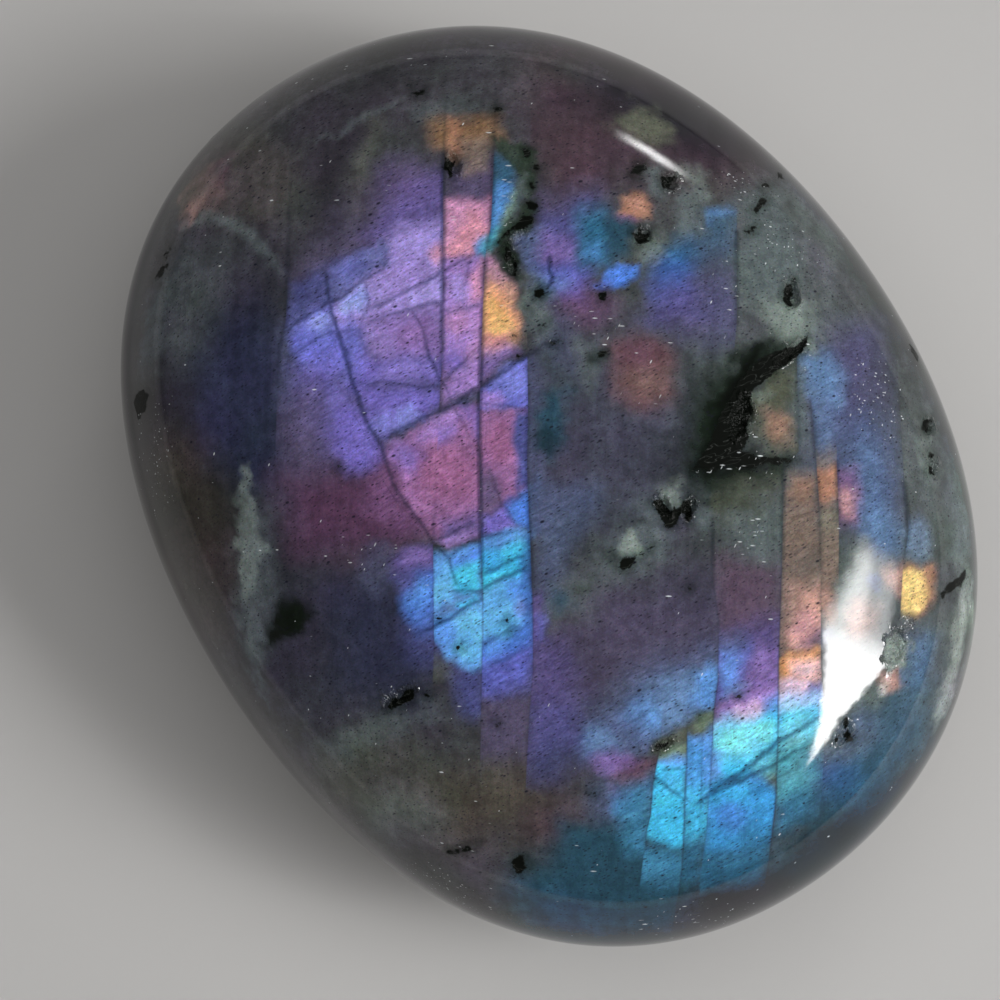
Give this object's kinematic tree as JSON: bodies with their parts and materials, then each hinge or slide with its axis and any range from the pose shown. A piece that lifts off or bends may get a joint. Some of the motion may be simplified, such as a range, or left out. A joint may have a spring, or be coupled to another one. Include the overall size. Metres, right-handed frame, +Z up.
{
  "type": "polished labradorite palm stone",
  "caption": "Egg-shaped polished labradorite palm stone, domed on both faces, with a small flat underneath to lie on.",
  "frame": {"origin": "under the middle of the stone's box, on the surface it lies on", "axes": "+Z up out of the domed face, +Y along the stone towards its slightly narrower end, +X across it"},
  "size_m": [0.0432, 0.0544, 0.0212],
  "materials": {
    "stone": "polished dark grey-green labradorite with blue, cyan, violet, pink and orange flashes"
  },
  "bodies": {
    "root": {"stone": "stone"}
  },
  "joints": []
}
